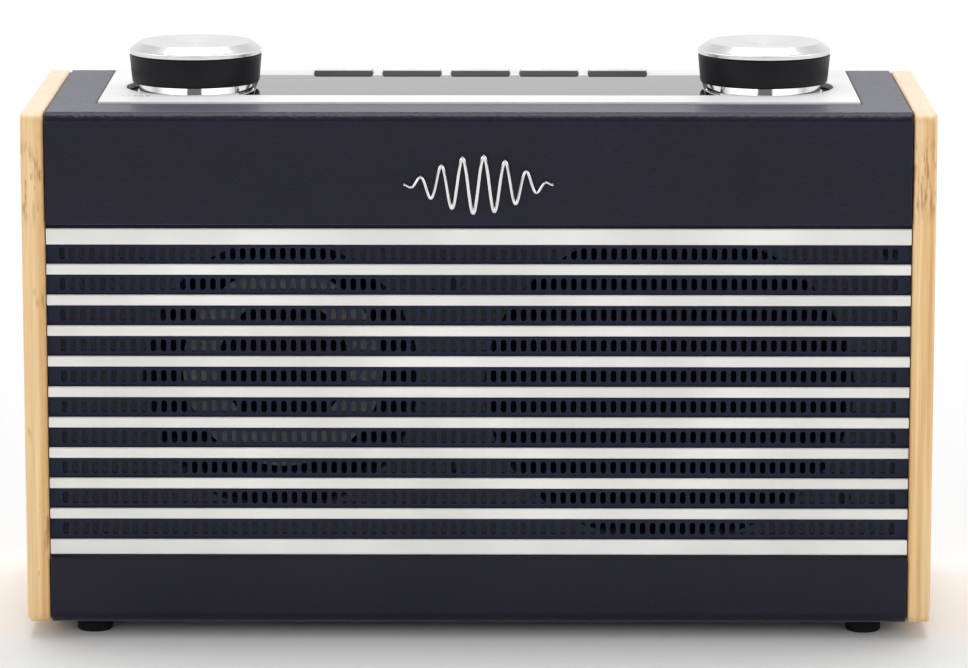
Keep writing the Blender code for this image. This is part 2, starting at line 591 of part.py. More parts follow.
def make_aerial():
    post_end = AERIAL_Y - 2.9
    swivel = drum("aerial_swivel", (AERIAL_X, (REAR_PANEL_BACK - 4 + post_end) / 2, AERIAL_Z), 4.5,
                  post_end - REAR_PANEL_BACK + 4, "Y", "chrome",
                  origin=(AERIAL_X, REAR_PANEL_BACK, AERIAL_Z))
    for side in (-1, 1):
        z = sorted((AERIAL_Z + side * 1.9, AERIAL_Z + side * 3.9))
        tine = block(f"aerial_tine_{side}", (AERIAL_X - 3.6, AERIAL_X + 3.6),
                     (post_end - 1.2, AERIAL_Y + 3.2), z)
        combine(swivel, tine, "UNION")
    pin = drum("aerial_pin", (AERIAL_X, AERIAL_Y, AERIAL_Z), 1.2, 6.6, "Z", steps=16)
    combine(swivel, pin, "UNION")

    pivot = (AERIAL_X, AERIAL_Y, AERIAL_Z)
    length = AERIAL_TUBE_START - AERIAL_TUBE_END
    tube = drum("aerial_tube", (AERIAL_TUBE_START - length / 2, AERIAL_Y, AERIAL_Z),
                AERIAL_TUBE_RADIUS, length, "X", "chrome", origin=pivot)
    combine(tube, drum("aerial_tube_bore", (AERIAL_TUBE_END, AERIAL_Y, AERIAL_Z),
                       AERIAL_MIDDLE_RADIUS + 0.2, 2 * (length - 4), "X"))
    tongue = block("aerial_tongue", (AERIAL_TUBE_START - 2, AERIAL_X), (AERIAL_Y - 2.2, AERIAL_Y + 2.2),
                   (AERIAL_Z - 1.6, AERIAL_Z + 1.6))
    eye = drum("aerial_eye", pivot, 2.4, 3.2, "Z")
    combine(tube, tongue, "UNION")
    combine(tube, eye, "UNION")
    combine(tube, drum("aerial_eye_bore", pivot, 1.35, 10, "Z", steps=16))

    middle_start = AERIAL_TUBE_START - 6
    middle_end = AERIAL_TUBE_END - 1.5
    middle_length = middle_start - middle_end
    middle = drum("aerial_middle", (middle_start - middle_length / 2, AERIAL_Y, AERIAL_Z),
                  AERIAL_MIDDLE_RADIUS, middle_length, "X", "chrome", steps=16)
    combine(middle, drum("aerial_middle_bore", (middle_end, AERIAL_Y, AERIAL_Z),
                         AERIAL_TIP_RADIUS + 0.2, 2 * (middle_length - 3), "X", steps=16))
    tip_start = middle_start - 5
    tip_end = middle_end - 1.5
    tip = drum("aerial_tip", ((tip_start + tip_end) / 2, AERIAL_Y, AERIAL_Z), AERIAL_TIP_RADIUS,
               tip_start - tip_end, "X", "chrome", steps=16)
    button = drum("aerial_button", (tip_end - 1.5, AERIAL_Y, AERIAL_Z), 2.6, 3.6, "X", steps=16)
    combine(tip, button, "UNION")


def make_feet():
    foot = [(0.0, FOOT_HEIGHT - GAP), (FOOT_RADIUS, FOOT_HEIGHT - GAP), (FOOT_RADIUS, 0.8),
            (FOOT_RADIUS - 0.3, 0.25), (FOOT_RADIUS - 0.9, 0.0), (0.0, 0.0)]
    for y_name, y in (("front", FRONT + FOOT_INSET), ("rear", BACK - FOOT_INSET)):
        for x_name, side in (("left", -1), ("right", 1)):
            turned(f"foot_{y_name}_{x_name}", foot, (side * FOOT_X, y, 0.0), "rubber",
                   steps=SMALL_ROUND_STEPS)


def make_emblem():
    """An even wave whose height swells to the middle, lying level on the upper front."""
    curve = bpy.data.curves.new("emblem", "CURVE")
    curve.dimensions = "3D"
    curve.bevel_depth = EMBLEM_WIRE_RADIUS * MM
    curve.bevel_resolution = 2
    curve.use_fill_caps = True
    count = EMBLEM_WAVES * 10
    spline = curve.splines.new("POLY")
    spline.points.add(count)
    y = FRONT - GAP - EMBLEM_WIRE_RADIUS
    for index, point in enumerate(spline.points):
        across = 2 * index / count - 1
        swell = math.cos(across * math.pi / 2) ** 1.2
        wave = math.sin(across * math.pi * EMBLEM_WAVES)
        point.co = ((EMBLEM_HALF_WIDTH - EMBLEM_WIRE_RADIUS) * across * MM, y * MM,
                    (EMBLEM_Z + (EMBLEM_HALF_HEIGHT - EMBLEM_WIRE_RADIUS) * swell * wave) * MM, 1.0)
    guide = bpy.data.objects.new("emblem_wire", curve)
    CUTTERS.objects.link(guide)
    bpy.context.view_layer.update()
    evaluated = guide.evaluated_get(bpy.context.evaluated_depsgraph_get())
    mesh = bpy.data.meshes.new_from_object(evaluated)
    mesh.materials.clear()
    shape = bmesh.new()
    shape.from_mesh(mesh)
    bmesh.ops.remove_doubles(shape, verts=shape.verts, dist=0.00001)
    shape.to_mesh(mesh)
    shape.free()
    emblem = bpy.data.objects.new("emblem", mesh)
    emblem.matrix_world = guide.matrix_world
    bpy.data.objects.remove(guide, do_unlink=True)
    finish_object(emblem, "chrome", smooth=True)


make_end_panels()
make_leather_cover()
make_core_boards()
make_front_baffle()
make_grille()
make_speaker()
make_passive_radiator()
make_control_plate()
make_control_chassis()
make_display()
make_keys()
make_knob(-1, "volume")
make_knob(1, "tuning")
make_main_board()
make_rear_panel()
make_battery_door()
make_socket("dc_socket", DC_SOCKET_X, 5.5, 3.2)
make_socket("headphone_socket", HEADPHONE_SOCKET_X, 4.5, 1.8)
make_aerial()
make_feet()
make_emblem()
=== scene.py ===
import math

import bmesh
import bpy
from mathutils import Matrix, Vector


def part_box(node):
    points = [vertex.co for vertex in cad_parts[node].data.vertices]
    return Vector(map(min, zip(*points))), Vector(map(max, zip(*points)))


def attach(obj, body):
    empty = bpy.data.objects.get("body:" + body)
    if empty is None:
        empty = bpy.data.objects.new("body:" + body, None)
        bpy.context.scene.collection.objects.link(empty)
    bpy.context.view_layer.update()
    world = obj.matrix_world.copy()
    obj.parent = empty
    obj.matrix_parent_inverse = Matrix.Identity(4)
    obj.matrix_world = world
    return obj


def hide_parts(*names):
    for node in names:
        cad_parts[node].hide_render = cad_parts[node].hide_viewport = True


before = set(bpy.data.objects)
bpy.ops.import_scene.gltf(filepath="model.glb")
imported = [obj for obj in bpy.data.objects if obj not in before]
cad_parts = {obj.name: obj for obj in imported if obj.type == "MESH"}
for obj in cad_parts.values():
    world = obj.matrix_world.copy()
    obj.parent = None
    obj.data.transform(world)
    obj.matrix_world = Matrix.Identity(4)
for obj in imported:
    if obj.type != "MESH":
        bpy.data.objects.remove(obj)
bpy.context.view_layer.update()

MM = 0.001
CABINET = "cabinet"


def limits(node):
    """Lowest and highest corner of a CAD node, in millimetres."""
    low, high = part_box(node)
    return [v / MM for v in low], [v / MM for v in high]


def centre_of(node):
    low, high = limits(node)
    return [(a + b) / 2 for a, b in zip(low, high)]


COVER_LOW, COVER_HIGH = limits("leather_cover")
FRONT, BACK = COVER_LOW[1], COVER_HIGH[1]
BOTTOM, TOP = COVER_LOW[2], COVER_HIGH[2]
HALF_INNER = COVER_HIGH[0]
PLATE_LOW, PLATE_HIGH = limits("control_plate")
PLATE_TOP = PLATE_HIGH[2]
CORNER_RADIUS = 3.5
CORNER_STEPS = 12
LEATHER_THICKNESS = 1.2
CUT_REACH = 10.0     # how far a cutter passes the surface it cuts


# ---------------------------------------------------------------- meshes

def add(shape, name, material, body=CABINET, replaces=(), smooth=40.0):
    """Make a piece from a bmesh, let it ride its body, and name the nodes it stands for."""
    bmesh.ops.recalc_face_normals(shape, faces=shape.faces)
    mesh = bpy.data.meshes.new(name)
    shape.to_mesh(mesh)
    shape.free()
    mesh.shade_smooth()
    mesh.set_sharp_from_angle(angle=math.radians(smooth))
    piece = bpy.data.objects.new(name, mesh)
    bpy.context.scene.collection.objects.link(piece)
    if material is not None:
        weighted = piece.modifiers.new("flat_faces_stay_flat", "WEIGHTED_NORMAL")
        weighted.keep_sharp = True
        weighted.weight = 80
    return settle(piece, material, body, replaces)


def settle(piece, material, body, replaces):
    """Give a piece its material, body and replaced nodes; a cutter, which has none, is left alone."""
    if material is None:
        return piece
    piece.data.materials.append(material)
    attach(piece, body)
    if replaces:
        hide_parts(*replaces)
    return piece


def move_origin(piece, centre):
    """Put a piece's origin at a point without moving its surface."""
    point = [v * MM for v in centre]
    piece.data.transform(Matrix.Translation([-v for v in point]))
    piece.location = point


def brick(low, high, radius=0.0, segments=3, rounded=None):
    """A box in a bmesh; edges whose two ends pass the rounded test get the radius."""
    shape = bmesh.new()
    bmesh.ops.create_cube(shape, size=1.0)
    size = [(b - a) * MM for a, b in zip(low, high)]
    centre = [(b + a) / 2 * MM for a, b in zip(low, high)]
    bmesh.ops.scale(shape, vec=size, verts=shape.verts)
    bmesh.ops.translate(shape, vec=centre, verts=shape.verts)
    if radius:
        chosen = [e for e in shape.edges if rounded is None or rounded(e)]
        bmesh.ops.bevel(shape, geom=chosen, offset=radius * MM, offset_type="OFFSET",
                        segments=segments, profile=0.5, affect="EDGES")
    return shape


def runs_along(axis):
    """A test for edges that run along an axis (0 for X, 1 for Y, 2 for Z)."""
    def test(edge):
        first, second = edge.verts
        return abs(first.co[axis] - second.co[axis]) > 0.5 * MM
    return test


def round_sharp_edges(shape, radius, segments):
    """Round every edge that turns by more than 60 degrees."""
    sharp = [e for e in shape.edges if len(e.link_faces) == 2
             and e.calc_face_angle() > math.radians(60.0)]
    bmesh.ops.bevel(shape, geom=sharp, offset=radius * MM, offset_type="OFFSET",
                    segments=segments, profile=0.5, affect="EDGES", clamp_overlap=True)


TURNS = {"Z": Matrix.Identity(4), "front": Matrix.Rotation(math.pi / 2, 4, "X"),
         "back": Matrix.Rotation(-math.pi / 2, 4, "X"), "left": Matrix.Rotation(-math.pi / 2, 4, "Y")}


def lathe(profile, centre, steps=96, facing="Z", closed=False, stretch=1.0):
    """Spin (radius, height) points about the axis that points up, to the front, back or left."""
    shape = bmesh.new()
    rings = []
    for radius, height in profile:
        if radius < 1e-6:
            rings.append([shape.verts.new((0, 0, height * MM))])
            continue
        angles = [math.tau * k / steps for k in range(steps)]
        rings.append([shape.verts.new((radius * stretch * math.cos(a) * MM,
                                       radius * math.sin(a) * MM, height * MM)) for a in angles])
    pairs = list(zip(rings, rings[1:]))
    if closed:
        pairs.append((rings[-1], rings[0]))
    for first, second in pairs:
        for k in range(steps):
            n = (k + 1) % steps
            corners = [first[k % len(first)], first[n % len(first)],
                       second[n % len(second)], second[k % len(second)]]
            unique = list(dict.fromkeys(corners))
            if len(unique) > 2:
                shape.faces.new(unique)
    bmesh.ops.transform(shape, matrix=TURNS[facing], verts=shape.verts)
    bmesh.ops.translate(shape, vec=[v * MM for v in centre], verts=shape.verts)
    return shape


def arc(centre, radius, start, end, count):
    """Points (radius, height) along an arc, angles in degrees."""
    angles = [math.radians(start + (end - start) * k / count) for k in range(count + 1)]
    return [(centre[0] + radius * math.cos(a), centre[1] + radius * math.sin(a)) for a in angles]


def join(whole, part):
    """Copy a part's surface into a larger bmesh and free the part."""
    mesh = bpy.data.meshes.new("part")
    part.to_mesh(mesh)
    part.free()
    whole.from_mesh(mesh)
    bpy.data.meshes.remove(mesh)


def cutter(shape, name):
    """A Boolean operand: a mesh object with no material and no body."""
    return add(shape, name, None)


def boolean(shape, cutters, operation="DIFFERENCE"):
    """Apply Boolean cuts to a bmesh, delete the cutters and return the new bmesh."""
    target = cutter(shape, "boolean_target")
    for other in cutters:
        modifier = target.modifiers.new("cut", "BOOLEAN")
        modifier.operation = operation
        modifier.solver = "EXACT"
        modifier.object = other
    evaluated = target.evaluated_get(bpy.context.evaluated_depsgraph_get())
    mesh = bpy.data.meshes.new_from_object(evaluated)
    result = bmesh.new()
    result.from_mesh(mesh)
    bpy.data.meshes.remove(mesh)
    for used in (target, *cutters):
        bpy.data.objects.remove(used, do_unlink=True)
    bmesh.ops.remove_doubles(result, verts=result.verts, dist=1e-6)
    return result


def flat_outline(splines, thickness):
    """A flat plate in X and Z with holes: closed outlines filled and thickened along Y."""
    curve = bpy.data.curves.new("outline", "CURVE")
    curve.dimensions = "2D"
    curve.fill_mode = "BOTH"
    curve.extrude = thickness / 2 * MM
    for points in splines:
        spline = curve.splines.new("POLY")
        spline.points.add(len(points) - 1)
        spline.use_cyclic_u = True
        for point, (x, z) in zip(spline.points, points):
            point.co = (x * MM, z * MM, 0.0, 1.0)
    guide = bpy.data.objects.new("outline", curve)
    bpy.context.scene.collection.objects.link(guide)
    bpy.context.view_layer.update()
    evaluated = guide.evaluated_get(bpy.context.evaluated_depsgraph_get())
    mesh = bpy.data.meshes.new_from_object(evaluated)
    shape = bmesh.new()
    shape.from_mesh(mesh)
    bpy.data.objects.remove(guide, do_unlink=True)
    bpy.data.meshes.remove(mesh)
    bmesh.ops.remove_doubles(shape, verts=shape.verts, dist=1e-6)
    bmesh.ops.rotate(shape, cent=(0, 0, 0), matrix=Matrix.Rotation(math.pi / 2, 3, "X"),
                     verts=shape.verts)
    return shape


def wire(name, points, radius, material, replaces=(), radii=None, resolution=4):
    """A round wire through points, on the cabinet, that may change its radius along its length."""
    curve = bpy.data.curves.new(name, "CURVE")
    curve.dimensions = "3D"
    curve.bevel_depth = radius * MM
    curve.bevel_resolution = resolution
    curve.use_fill_caps = True
    spline = curve.splines.new("POLY")
    spline.points.add(len(points) - 1)
    for index, (point, place) in enumerate(zip(spline.points, points)):
        point.co = (*[v * MM for v in place], 1.0)
        point.radius = radii[index] if radii else 1.0
    piece = bpy.data.objects.new(name, curve)
    bpy.context.scene.collection.objects.link(piece)
    return settle(piece, material, CABINET, replaces)


# ---------------------------------------------------------------- materials

class Look:
    """A material's node tree, with short ways to add and join nodes."""

    def __init__(self, name, colour, roughness, metallic=0.0, specular=0.5, **sockets):
        self.material = bpy.data.materials.new(name)
        self.material.use_nodes = True
        self.tree = self.material.node_tree
        self.shader = self.tree.nodes["Principled BSDF"]
        self.set(self.shader, "Base Color", (*colour, 1.0))
        self.set(self.shader, "Roughness", roughness)
        self.set(self.shader, "Metallic", metallic)
        self.set(self.shader, "Specular IOR Level", specular)
        for socket, value in sockets.items():
            self.set(self.shader, socket.replace("_", " "), value)

    @staticmethod
    def set(node, socket, value):
        node.inputs[socket].default_value = value

    def node(self, kind, settings=None, **inputs):
        made = self.tree.nodes.new(kind)
        for key, value in (settings or {}).items():
            setattr(made, key, value)
        for key, value in inputs.items():
            socket = made.inputs[int(key[1:])] if key[0] == "i" and key[1:].isdigit() else (
                made.inputs[key.replace("_", " ")])
            if isinstance(value, bpy.types.NodeSocket):
                self.tree.links.new(value, socket)
            else:
                socket.default_value = value
        return made

    def place(self, scale=(1.0, 1.0, 1.0)):
        """Object coordinates stretched by a scale."""
        coordinates = self.node("ShaderNodeTexCoord")
        mapping = self.node("ShaderNodeMapping", Vector=coordinates.outputs["Object"], Scale=scale)
        return mapping.outputs["Vector"]

    def noise(self, scale, vector=None, detail=3.0, roughness=0.5):
        made = self.node("ShaderNodeTexNoise", Vector=vector or self.place(), Scale=scale,
                         Detail=detail, Roughness=roughness)
        return made.outputs["Fac"]

    def cells(self, scale, vector=None, feature="F1", randomness=1.0):
        made = self.node("ShaderNodeTexVoronoi", {"feature": feature}, Vector=vector or self.place(),
                         Scale=scale, Randomness=randomness)
        return made.outputs["Distance"]

    def maths(self, operation, first, second=0.0):
        made = self.node("ShaderNodeMath", {"operation": operation}, i0=first, i1=second)
        return made.outputs[0]

    def steps(self, value, *stops):
        """A colour ramp from (position, colour) stops."""
        ramp = self.node("ShaderNodeValToRGB", Fac=value)
        elements = ramp.color_ramp.elements
        while len(elements) < len(stops):
            elements.new(0.5)
        for element, (position, colour) in zip(elements, stops):
            element.position = position
            element.color = (*colour, 1.0)
        return ramp.outputs["Color"]

    def mix(self, factor, first, second, blend="MIX"):
        made = self.node("ShaderNodeMix", {"data_type": "RGBA", "blend_type": blend})
        for socket, value in ((0, factor), (6, first), (7, second)):
            if isinstance(value, bpy.types.NodeSocket):
                self.tree.links.new(value, made.inputs[socket])
            else:
                made.inputs[socket].default_value = value if socket == 0 else (*value, 1.0)
        return made.outputs[2]

    def bump(self, height, distance, strength):
        """Raise the surface by a height, with the distance in millimetres."""
        made = self.node("ShaderNodeBump", Height=height, Distance=distance * MM,
                         Strength=strength)
        self.tree.links.new(made.outputs["Normal"], self.shader.inputs["Normal"])

    def colour(self, socket):
        self.tree.links.new(socket, self.shader.inputs["Base Color"])

    def ranged(self, value, start, end, low=0.0, high=1.0):
        """Map a value from start..end to low..high."""
        made = self.node("ShaderNodeMapRange", Value=value, i1=start, i2=end, i3=low, i4=high)
        return made.outputs[0]

    def roughness(self, value, low, high):
        self.tree.links.new(self.ranged(value, 0.0, 1.0, low, high), self.shader.inputs["Roughness"])


def leathercloth():
    """Embossed vinyl cloth: pebbles parted by creases over a slow unevenness, with painted shade that
    darkens the creases.
    """
    look = Look("navy_leathercloth", (0.012, 0.013, 0.026), 0.38, specular=0.27, Sheen_Weight=0.20,
                Sheen_Roughness=0.35, Sheen_Tint=(0.72, 0.72, 1.0, 1.0))
    warp = look.noise(520, detail=1)
    grain = look.cells(560, look.place((1.0, 1.0, 1.2)), "DISTANCE_TO_EDGE")
    creases = look.ranged(grain, 0.0, 0.25)
    fine = look.noise(2600, detail=2)
    pebbles = look.cells(820, feature="SMOOTH_F1")
    height = look.maths("ADD", look.maths("MULTIPLY", creases, 0.7),
                        look.maths("MULTIPLY", pebbles, -0.5))
    height = look.maths("ADD", height, look.maths("MULTIPLY", fine, 0.25))
    height = look.maths("ADD", height, look.maths("MULTIPLY", warp, 2.6))
    look.bump(height, 0.10, 0.45)
    tone = look.steps(look.noise(35, detail=3), (0.3, (0.0066, 0.0064, 0.0180)),
                      (0.7, (0.0092, 0.0088, 0.0240)))
    # painted shade: the cloth's colour is darkened towards the bottom of each crease, where shade falls
    crease_painted_shade = look.steps(creases, (0.0, (0.72, 0.72, 0.75)), (0.6, (1.0, 1.0, 1.0)))
    look.colour(look.mix(1.0, tone, crease_painted_shade, "MULTIPLY"))
    look.roughness(look.noise(900, detail=2), 0.31, 0.42)
    return look.material


NODE_BAND_Z = 0.1305        # metres: the height of a growth node in the bamboo
NODE_BAND_CLEAR = 0.014     # metres from it where the marks have gone
NODE_BAND_FULL = 0.006      # metres from it where they are strongest


def bamboo():
    """Upright laminations of slightly different tone, long fibres, and brown rings at the nodes."""
    look = Look("bamboo", (0.75, 0.49, 0.24), 0.38, specular=0.45)
    plies = look.cells(1.0, look.place((560, 60, 4)), randomness=0.9)
    streaks = look.noise(1.0, look.place((420, 260, 9)), detail=4, roughness=0.6)
    fibres = look.noise(1.0, look.place((2300, 1900, 34)), detail=2)
    blend = look.maths("ADD", look.maths("MULTIPLY", streaks, 0.75),
                       look.maths("MULTIPLY", plies, 0.35))
    tone = look.steps(blend, (0.36, (0.70, 0.405, 0.165)), (0.52, (0.84, 0.55, 0.262)),
                      (0.72, (0.93, 0.70, 0.40)))
    fibre_tone = look.steps(fibres, (0.35, (0.93, 0.91, 0.88)), (0.65, (1.04, 1.03, 1.02)))
    tone = look.mix(1.0, tone, fibre_tone, "MULTIPLY")
    flecks = look.noise(1.0, look.place((780, 700, 170)), detail=1)
    rings = look.noise(1.0, look.place((70, 40, 38)), detail=1)
    marks = look.maths("MULTIPLY", look.ranged(flecks, 0.56, 0.68), look.ranged(rings, 0.58, 0.66))
    coordinates = look.node("ShaderNodeTexCoord")
    height = look.node("ShaderNodeSeparateXYZ", Vector=coordinates.outputs["Object"]).outputs[2]
    distance = look.maths("ABSOLUTE", look.maths("SUBTRACT", height, NODE_BAND_Z))
    node_band = look.ranged(distance, NODE_BAND_CLEAR, NODE_BAND_FULL)
    specks = look.noise(1.0, look.place((1150, 700, 165)), detail=2, roughness=0.6)
    node_marks = look.maths("MULTIPLY", look.ranged(specks, 0.51, 0.64), node_band)
    marks = look.maths("MAXIMUM", marks, node_marks)
    facing = look.node("ShaderNodeNewGeometry").outputs["Normal"]
    upward = look.node("ShaderNodeSeparateXYZ", Vector=facing).outputs[2]
    end_grain = look.ranged(upward, 0.5, 0.95, high=0.75)
    tone = look.mix(end_grain, tone, (0.98, 0.84, 0.62))
    marks = look.maths("MULTIPLY", marks, look.maths("SUBTRACT", 1.0, end_grain))
    look.colour(look.mix(look.maths("MULTIPLY", marks, 0.70), tone, (0.38, 0.17, 0.065)))
    look.bump(fibres, 0.02, 0.4)
    look.roughness(fibres, 0.32, 0.46)
    return look.material


def moulded(name, colour, roughness, scale=1500, depth=0.03, specular=0.4):
    """Plastic or rubber with a fine moulded texture and slightly uneven gloss."""
    look = Look(name, colour, roughness, specular=specular)
    fine = look.noise(scale, detail=2)
    look.bump(fine, depth, 0.6)
    look.roughness(look.noise(60, detail=3), roughness - 0.05, roughness + 0.05)
    tone = look.steps(look.noise(25, detail=2), (0.3, tuple(c * 0.9 for c in colour)),
                      (0.7, tuple(c * 1.1 for c in colour)))
    look.colour(tone)
    return look.material


def metal(name, colour, roughness, spread=0.03):
    """Plated metal with slightly uneven gloss and tone."""
    look = Look(name, colour, roughness, metallic=1.0)
    cloud = look.noise(400, detail=3)
    look.roughness(cloud, roughness - spread, roughness + spread)
    tone = look.steps(look.noise(18, detail=2), (0.3, tuple(c * 0.96 for c in colour)), (0.7, colour))
    look.colour(tone)
    return look.material


def spun_aluminium():
    """Turned aluminium: fine rings about the knob's own axis and a highlight that fans out."""
    look = Look("spun_aluminium", (0.76, 0.76, 0.765), 0.19, metallic=1.0, Anisotropic=0.85)
    tangent = look.node("ShaderNodeTangent", {"direction_type": "RADIAL", "axis": "Z"})
    look.tree.links.new(tangent.outputs[0], look.shader.inputs["Tangent"])
    coordinates = look.node("ShaderNodeTexCoord")
    parts = look.node("ShaderNodeSeparateXYZ", Vector=coordinates.outputs["Object"])
    radius = look.maths("SQRT", look.maths(
        "ADD", look.maths("MULTIPLY", parts.outputs[0], parts.outputs[0]),
        look.maths("MULTIPLY", parts.outputs[1], parts.outputs[1])))
    rings = look.node("ShaderNodeTexNoise", {"noise_dimensions": "1D"},
                      W=look.maths("MULTIPLY", radius, 9000.0), Detail=2.0)
    look.bump(rings.outputs["Fac"], 0.012, 0.5)
    look.colour(look.steps(rings.outputs["Fac"], (0.3, (0.70, 0.70, 0.705)), (0.7, (0.79, 0.79, 0.795))))
    return look.material


def paper_cone():
    look = Look("paper_cone", (0.45, 0.46, 0.44), 0.75, specular=0.3)
    look.bump(look.noise(1400, detail=3), 0.08, 0.6)
    look.colour(look.steps(look.noise(160, detail=3), (0.3, (0.82, 0.83, 0.79)),
                           (0.7, (0.90, 0.91, 0.87))))
    return look.material


def circuit_board():
    look = Look("circuit_board", (0.02, 0.12, 0.05), 0.4)
    tracks = look.cells(260, randomness=0.3)
    look.colour(look.steps(tracks, (0.45, (0.02, 0.14, 0.06)), (0.5, (0.01, 0.08, 0.03))))
    return look.material


def smoked_lens():
    look = Look("smoked_lens", (0.008, 0.008, 0.010), 0.03)
    look.set(look.shader, "IOR", 1.5)
    look.roughness(look.noise(8, detail=2), 0.02, 0.045)
    return look.material


LEATHER = leathercloth()
BAMBOO = bamboo()
GRILLE = moulded("navy_grille", (0.0070, 0.0115, 0.030), 0.42, specular=0.22)
STRIP = moulded("silver_white_strip", (0.85, 0.835, 0.80), 0.33, depth=0.008, specular=0.5)
PLATE = moulded("satin_plate", (0.90, 0.90, 0.905), 0.42, depth=0.004, specular=0.5)
CHROME = metal("chrome", (0.78, 0.78, 0.79), 0.06, spread=0.015)
ALUMINIUM = spun_aluminium()
GRIP = moulded("knob_grip", (0.009, 0.0080, 0.0115), 0.40, depth=0.010, specular=0.20)
BLACK = moulded("black_moulding", (0.014, 0.014, 0.016), 0.5, scale=1100, depth=0.06)
BAFFLE = moulded("baffle_paint", (0.24, 0.245, 0.25), 0.75, scale=700, depth=0.08, specular=0.2)
RUBBER = moulded("rubber", (0.008, 0.008, 0.0085), 0.85, scale=900, depth=0.05, specular=0.15)
STEEL = metal("zinc_steel", (0.62, 0.62, 0.64), 0.32)
CONE = paper_cone()
BOARD = circuit_board()
LENS = smoked_lens()
KEY = moulded("key_silver", (0.88, 0.88, 0.885), 0.40, depth=0.004, specular=0.5)
# painted shade: the keys' sides and the wells in front of them are dark grey for the shade on them; the
# silver key colour above is the lit copy
KEY_PAINTED_SHADE = moulded("key_sides_painted_shade", (0.17, 0.17, 0.173), 0.5, depth=0.02)
INK = moulded("grey_ink", (0.30, 0.30, 0.31), 0.6, depth=0.004)


# ---------------------------------------------------------------- cabinet

GRILLE_SEAM = 0.3
PLATE_SEAM = 0.4
REAR_OPENING_HALF_WIDTH = 112.0
REAR_OPENING_BOTTOM = BOTTOM + 11.5
REAR_OPENING_TOP = BOTTOM + 137.0
END_PANEL_EDGE = 1.1


def make_leather_cover():
    """The sleeve, open at both ends, with cuts for the grille, the control plate and the back."""
    low, high = COVER_LOW, COVER_HIGH
    wall = LEATHER_THICKNESS
    shape = brick(low, high, CORNER_RADIUS, CORNER_STEPS, runs_along(0))
    inner_low = [low[0] - CUT_REACH, low[1] + wall, low[2] + wall]
    inner_high = [high[0] + CUT_REACH, high[1] - wall, high[2] - wall]
    inside = cutter(brick(inner_low, inner_high, CORNER_RADIUS - wall, CORNER_STEPS, runs_along(0)),
                    "inside")
    grille_low, grille_high = limits("grille_panel")
    grille = cutter(brick((low[0] - CUT_REACH, FRONT - CUT_REACH / 2, grille_low[2] - GRILLE_SEAM),
                          (high[0] + CUT_REACH, FRONT + CUT_REACH, grille_high[2] + GRILLE_SEAM)),
                    "grille_cut")
    controls = cutter(brick((PLATE_LOW[0] - PLATE_SEAM, PLATE_LOW[1] - PLATE_SEAM, TOP - CUT_REACH),
                            (PLATE_HIGH[0] + PLATE_SEAM, PLATE_HIGH[1] + PLATE_SEAM, TOP + CUT_REACH)),
                      "plate_cut")
    rear = cutter(brick((-REAR_OPENING_HALF_WIDTH, BACK - CUT_REACH, REAR_OPENING_BOTTOM),
                        (REAR_OPENING_HALF_WIDTH, BACK + CUT_REACH, REAR_OPENING_TOP)), "rear")
    shape = boolean(shape, [inside, grille, controls, rear])
    round_sharp_edges(shape, 0.5, 3)
    add(shape, "leathercloth_sleeve", LEATHER, replaces=["leather_cover"])


def make_end_panels():
    for side in ("left", "right"):
        low, high = limits(f"end_panel_{side}")
        shape = brick(low, high, CORNER_RADIUS, CORNER_STEPS, runs_along(0))
        round_sharp_edges(shape, END_PANEL_EDGE, 5)
        add(shape, f"bamboo_end_{side}", BAMBOO, replaces=[f"end_panel_{side}"])


STRIP_COUNT = 11
SLOT_COUNT = 84
SLOT_PITCH = 2.805
SLOT_WIDTH = 1.62
SLOT_HEIGHT = 3.45


def slot_outline(x, z):
    """An upright slot with round ends, as (x, z) points."""
    radius = SLOT_WIDTH / 2
    straight = SLOT_HEIGHT / 2 - radius
    top = [(x + radius * math.cos(a), z + straight + radius * math.sin(a))
           for a in (math.pi * k / 6 for k in range(7))]
    return top + [(2 * x - px, 2 * z - pz) for px, pz in top]


def make_grille():
    """A panel with a row of slots in each gap between strips, built band by band, and the strips."""
    low, high = limits("grille_panel")
    strips = [limits(f"grille_strip_{n:02d}") for n in range(1, STRIP_COUNT + 1)]
    seams = [high[2]] + [(s[0][2] + s[1][2]) / 2 for s in strips[1:-1]] + [low[2]]
    panel = bmesh.new()
    for band, (upper, lower) in enumerate(zip(seams, seams[1:])):
        centre = (strips[band][0][2] + strips[band + 1][1][2]) / 2
        outlines = [[(low[0], lower), (high[0], lower), (high[0], upper), (low[0], upper)]]
        for k in range(SLOT_COUNT):
            outlines.append(slot_outline((k - (SLOT_COUNT - 1) / 2) * SLOT_PITCH, centre))
        part = flat_outline(outlines, high[1] - low[1])
        bmesh.ops.translate(part, vec=(0, (low[1] + high[1]) / 2 * MM, 0), verts=part.verts)
        join(panel, part)
    add(panel, "slotted_grille", GRILLE, replaces=["grille_panel"])
    for number, (strip_low, strip_high) in enumerate(strips, 1):
        shape = brick(strip_low, strip_high, 0.5, 4, runs_along(0))
        add(shape, f"silver_strip_{number:02d}", STRIP,
            replaces=[f"grille_strip_{number:02d}"])


SURROUND_DEPTH = 3.0
CONE_THROAT = 18.6


